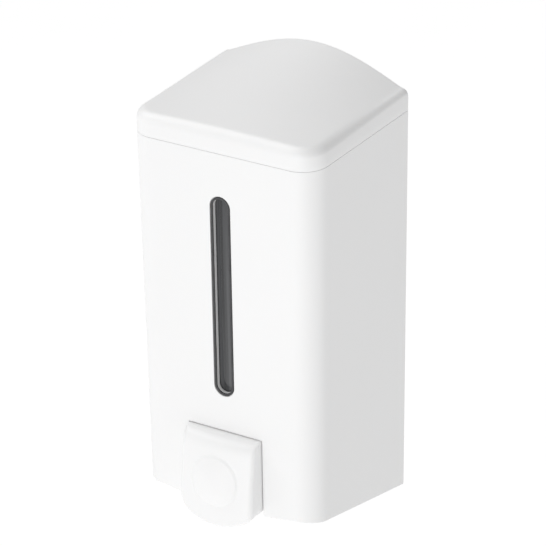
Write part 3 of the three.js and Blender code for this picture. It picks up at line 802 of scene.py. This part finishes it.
def pad_inset_of(x, z):
    """How far a point lies inside the push button's sides and lower edge."""
    x = abs(x)
    if z > PAD_CORNER_Z:
        return PAD_HALF - x
    if math.atan2(x, PAD_BOW_CENTRE - z) < PAD_LEAN:
        return PAD_BOW - math.hypot(x, z - PAD_BOW_CENTRE)
    return PAD_CORNER - math.hypot(x - PAD_CORNER_X, z - PAD_CORNER_Z)


def bezier(start, control, end, t):
    return start * (1 - t) ** 2 + 2 * control * t * (1 - t) + end * t * t


def pad_reach(z):
    """How far the face stands out at a height: a round shoulder, then a nearly straight face."""
    below = PAD_TOP - z
    if below <= 0:
        return 0.0
    if below < SHOULDER_DROP:
        return bezier(0.0, SHOULDER_CONTROL, SHOULDER_REACH, math.sqrt(below / SHOULDER_DROP))
    drop = below - SHOULDER_DROP
    slope = FACE_SPAN + FACE_EASING
    root = math.sqrt(max(slope**2 - 4 * FACE_EASING * drop, 0.0))
    t = min((slope - root) / (2 * FACE_EASING), 1.0)
    return bezier(SHOULDER_REACH, PAD_REACH, PAD_REACH, t)


def dome(x, z):
    """Height of the raised round dome above the face."""
    distance = math.hypot(x, z - DOME_MIDDLE)
    if distance >= DOME_RADIUS + DOME_SPREAD:
        return 0.0
    rise = DOME_HEIGHT * (1 - (distance / DOME_RADIUS) ** 2 * DOME_FALL)
    return rise * smooth((DOME_RADIUS + DOME_SPREAD - distance) / DOME_EDGE)


def pad_face(x, z):
    """Where the face lies, with its rounded sides and its dome."""
    reach = pad_reach(z)
    edge = min(PAD_EDGE, reach)
    drop = rounding(pad_inset_of(x, z) * edge / PAD_EDGE, edge)
    crown = PAD_CROWN * (1 - (x / PAD_HALF) ** 2) * reach / PAD_REACH
    return FRONT - reach - crown + drop - dome(x, z)


def pad_back(z):
    """Where the side walls end behind the face: further back round the pivot pin."""
    step = min(max((z - (PIVOT_Z - 8)) / 4, 0.0), 1.0)
    return PAD_BACK + PAD_BACK_STEP * step


def face_rings(skin):
    """The front face, from its rounded edge in to the dome and over it."""
    edge = pad_ring(PAD_EDGE)
    ring_count = 14
    rim = DOME_RADIUS + 1.2
    for i in range(1, ring_count + 1):
        share = i / ring_count
        points = []
        for x, z in edge:
            distance = math.hypot(x, z - DOME_MIDDLE)
            scale = (distance + (rim - distance) * share) / distance
            points.append((x * scale, DOME_MIDDLE + (z - DOME_MIDDLE) * scale))
        skin.ring([(x, pad_face(x, z), z) for x, z in points])
    for radius in [rim - 0.25 * i for i in range(1, 11)] + [9.5, 8, 6.5, 5, 3.5, 2, 1]:
        points = []
        for x, z in edge:
            distance = math.hypot(x, z - DOME_MIDDLE)
            points.append((x / distance * radius, DOME_MIDDLE + (z - DOME_MIDDLE) / distance * radius))
        skin.ring([(x, pad_face(x, z), z) for x, z in points])
    skin.close_to_point((0, pad_face(0, DOME_MIDDLE), DOME_MIDDLE))


def build_push_button():
    """A hollow pad with a crowned face and a dome, and the rib that pushes the piston rod."""
    skin = Skin()
    inner = pad_ring(PAD_WALL)
    for share in (0.7, 0.35, 0.0):
        ring = [(x * (1 - share), z + (DOME_MIDDLE - z) * share) for x, z in inner]
        skin.ring([(x, pad_face(x, z) + dome(x, z) + PAD_WALL, z) for x, z in ring])
    skin.ring([(x, pad_back(z) - 0.3, z) for x, z in inner])
    skin.ring([(x, pad_back(z), z) for x, z in pad_ring(PAD_WALL - 0.3)])
    skin.ring([(x, pad_back(z), z) for x, z in pad_ring(0.3)])
    outer = pad_ring(0)
    skin.ring([(x, pad_back(z) - 0.3, z) for x, z in outer])
    skin.ring([(x, min(pad_face(x, z) + 0.05, FRONT + 3), z) for x, z in outer])
    for angle in quarter(8):
        skin.ring([(x, pad_face(x, z), z) for x, z in pad_ring(PAD_EDGE * (1 - math.cos(angle)))])
    face_rings(skin)
    skin.close_start((0, pad_face(0, DOME_MIDDLE) + dome(0, DOME_MIDDLE) + PAD_WALL, DOME_MIDDLE))
    piece = from_skin("push_pad", skin)
    rib_low = (-RIB_HALF_WIDTH, RIB_FRONT, ROD_HEIGHT - RIB_HALF_HEIGHT)
    rib_high = (RIB_HALF_WIDTH, RIB_BACK, ROD_HEIGHT + RIB_HALF_HEIGHT)
    combine(piece, "UNION", cuboid("rib", rib_low, rib_high))
    combine(piece, "DIFFERENCE", cylinder("pin hole", "x", PIN_HOLE, -30, 30, (PIVOT_Y, PIVOT_Z)))
    shade_smooth(piece, 34)
    return finish_piece(piece, "push_button", "shell_white", SHELL_WHITE, "push_button")


# ---------------------------------------------------------------- return spring


def build_return_spring():
    """A coil of round wire, a little closer wound near its ends."""
    low, high = node_box("return_spring")
    wire = 0.5
    radius = (high.x - low.x) / 2 - wire
    turns = 6
    steps = turns * 40
    sides = 12
    skin = Skin()
    start, end = low.y + wire, high.y - wire
    for i in range(steps + 1):
        share = i / steps
        angle = share * turns * 2 * math.pi
        closing = 0.5 - 0.5 * math.cos(math.pi * share)
        y = start + (end - start) * (0.7 * share + 0.3 * closing)
        outward = Vector((math.cos(angle), 0, math.sin(angle)))
        centre = Vector((0, y, ROD_HEIGHT)) + outward * radius
        ring = []
        for k in range(sides):
            turn = 2 * math.pi * k / sides
            sideways = Vector((0, 1, 0)) * wire * math.sin(turn)
            ring.append(tuple(centre + outward * wire * math.cos(turn) + sideways))
        skin.ring(ring)
    skin.close_start(tuple(Vector((0, start, ROD_HEIGHT)) + Vector((1, 0, 0)) * radius))
    skin.close_to_point(tuple(centre))
    piece = from_skin("return_coil", skin)
    shade_smooth(piece, 60)
    finish_piece(piece, "housing", "steel", STEEL, "return_spring")
    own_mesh(piece)
    return piece


# ---------------------------------------------------------------- carried-over CAD nodes

CARRIED = {
    "wall_plate": (INNER_WHITE, 0.35),
    "rear_panel": (INNER_WHITE, 0.3),
    "soap_tank": (TANK, 0.5),
    "tank_outlet_seal": (SILICONE, 0.2),
    "pump_body": (PUMP_GREY, 0.3),
    "pump_end_cap": (PUMP_GREY, 0.3),
    "piston_rod": (INNER_WHITE, 0.2),
    "piston_seal": (SILICONE, 0.1),
    "inlet_valve_seat": (SILICONE, 0.15),
    "inlet_valve_ball": (TURNED_STEEL, 0.0),
    "outlet_valve": (SILICONE, 0.1),
    "nozzle": (PUMP_GREY, 0.3),
    "button_pivot_pin": (STEEL, 0.2),
    "panel_screw_upper_left": (TURNED_STEEL, 0.12),
    "panel_screw_upper_right": (TURNED_STEEL, 0.12),
    "panel_screw_lower_left": (TURNED_STEEL, 0.12),
    "panel_screw_lower_right": (TURNED_STEEL, 0.12),
    "pump_screw_left": (TURNED_STEEL, 0.12),
    "pump_screw_right": (TURNED_STEEL, 0.12),
}
FLAT_PLATES = ("wall_plate", "rear_panel")


def dress_cad_nodes():
    """Weld, round and paint the CAD nodes that stay as they are."""
    for name, (material, width) in CARRIED.items():
        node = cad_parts[name]
        node.data.materials.clear()
        node.data.materials.append(material)
        weld = node.modifiers.new("weld", "WELD")
        weld.merge_threshold = 1e-6
        if name in FLAT_PLATES:
            merge = node.modifiers.new("flat faces", "DECIMATE")
            merge.decimate_type = "DISSOLVE"
            merge.angle_limit = math.radians(0.5)
        if width:
            soften(node, width, segments=2, angle=38)
        else:
            for face in node.data.polygons:
                face.use_smooth = True


# ---------------------------------------------------------------- stage, light and camera


def build_stage():
    """A wide pale floor, well below the object."""
    half = 4500
    height = -950
    corners = [(x * half, y * half, height) for x, y in ((-1, -1), (1, -1), (1, 1), (-1, 1))]
    stage = make_object("floor", corners, [(0, 1, 2, 3)])
    tree = Tree("floor paint")
    tree.colour(tree.noise(3, 3), (0.29, 0.29, 0.29), (0.31, 0.31, 0.31))
    tree.shader.inputs["Roughness"].default_value = 0.9
    tree.shader.inputs["Emission Color"].default_value = (1, 1, 1, 1)
    tree.shader.inputs["Emission Strength"].default_value = 0.83
    stage.data.materials.append(tree.material)


def build_light():
    """An even pale surround with a soft key from the upper left and a soft front light."""
    world = bpy.data.worlds.new("studio")
    bpy.context.scene.world = world
    world.use_nodes = True
    background = world.node_tree.nodes["Background"]
    background.inputs["Color"].default_value = (1.0, 1.0, 1.0, 1)
    background.inputs["Strength"].default_value = 0.487

    def softbox(name, place, target, width, height, power):
        lamp = bpy.data.lights.new(name, "AREA")
        lamp.shape = "RECTANGLE"
        lamp.size = width
        lamp.size_y = height
        lamp.energy = power
        holder = bpy.data.objects.new(name, lamp)
        bpy.context.scene.collection.objects.link(holder)
        holder.location = place
        direction = Vector(target) - Vector(place)
        holder.rotation_euler = direction.to_track_quat("-Z", "Y").to_euler()

    softbox("key", (-0.85, -0.2, 1.35), (0, -0.04, 0.0), 1.2, 1.2, 12.2)
    softbox("front", (0.3, -1.6, 0.05), (0, -0.05, 0.0), 1.5, 1.3, 10.4)


def build_camera():
    """The photograph's viewing angle, as a long lens from the front right and above."""
    azimuth, elevation, roll = math.radians(31.97), math.radians(26.16), math.radians(-1.02)
    distance = 1.5809
    level = math.cos(elevation)
    back = Vector((math.sin(azimuth) * level, -math.cos(azimuth) * level, math.sin(elevation)))
    right = Vector((math.cos(azimuth), math.sin(azimuth), 0))
    up = back.cross(right)
    target = Vector((0, -0.040, 0.010)) + right * 0.00044 + up * 0.00752
    rolled_right = right * math.cos(roll) + up * math.sin(roll)
    rolled_up = up * math.cos(roll) - right * math.sin(roll)
    camera_data = bpy.data.cameras.new("camera")
    camera_data.sensor_width = 36
    camera_data.lens = 230.76923
    camera_data.clip_start = 0.01
    camera_data.clip_end = 50
    camera = bpy.data.objects.new("camera", camera_data)
    bpy.context.scene.collection.objects.link(camera)
    turn = Matrix((rolled_right, rolled_up, back)).transposed()
    camera.matrix_world = Matrix.Translation(target + back * distance) @ turn.to_4x4()
    bpy.context.scene.camera = camera


bpy.context.scene.view_settings.view_transform = "Standard"
build_camera()
build_light()
build_stage()
build_lid()
build_front_shell()
build_window_frame()
build_window_pane()
build_push_button()
build_return_spring()
dress_cad_nodes()
